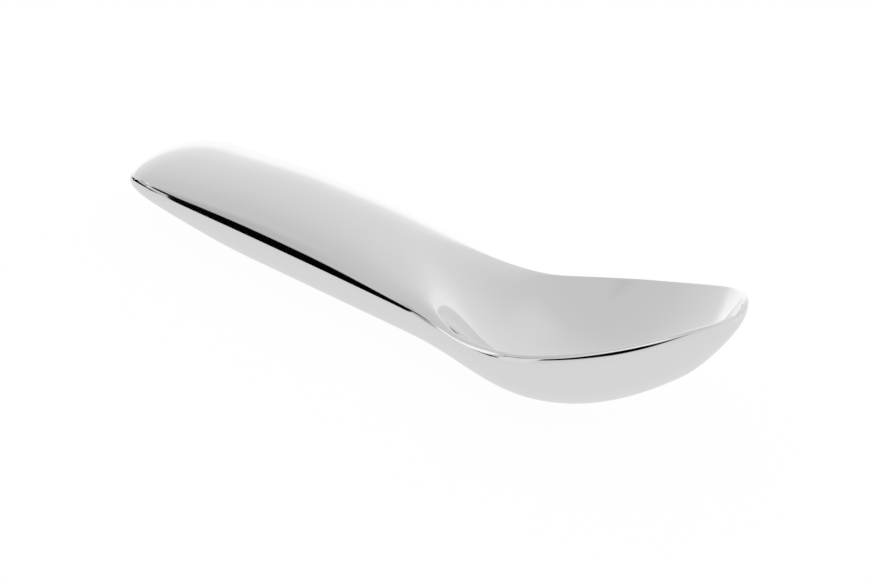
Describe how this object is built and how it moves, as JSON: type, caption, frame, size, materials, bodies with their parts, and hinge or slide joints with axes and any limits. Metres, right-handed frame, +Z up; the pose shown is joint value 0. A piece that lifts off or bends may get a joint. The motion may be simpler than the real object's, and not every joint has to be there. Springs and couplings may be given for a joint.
{
  "type": "ice cream spade",
  "caption": "Cast metal ice cream spade: a thick crowned handle runs down a smooth ramp into an open bowl with a thin rounded lip and an upturned tip, mirror polished all over.",
  "frame": {"origin": "on the table, under the middle of the spade's length and width", "axes": "+X along the spade from the butt of the handle to the tip of the bowl, +Y to the left seen from the butt, +Z up, with the bowl open upwards"},
  "size_m": [0.19, 0.0556, 0.0395],
  "materials": {
    "polished_metal": "mirror polished"
  },
  "bodies": {
    "root": {"spade": "polished_metal"}
  },
  "joints": []
}
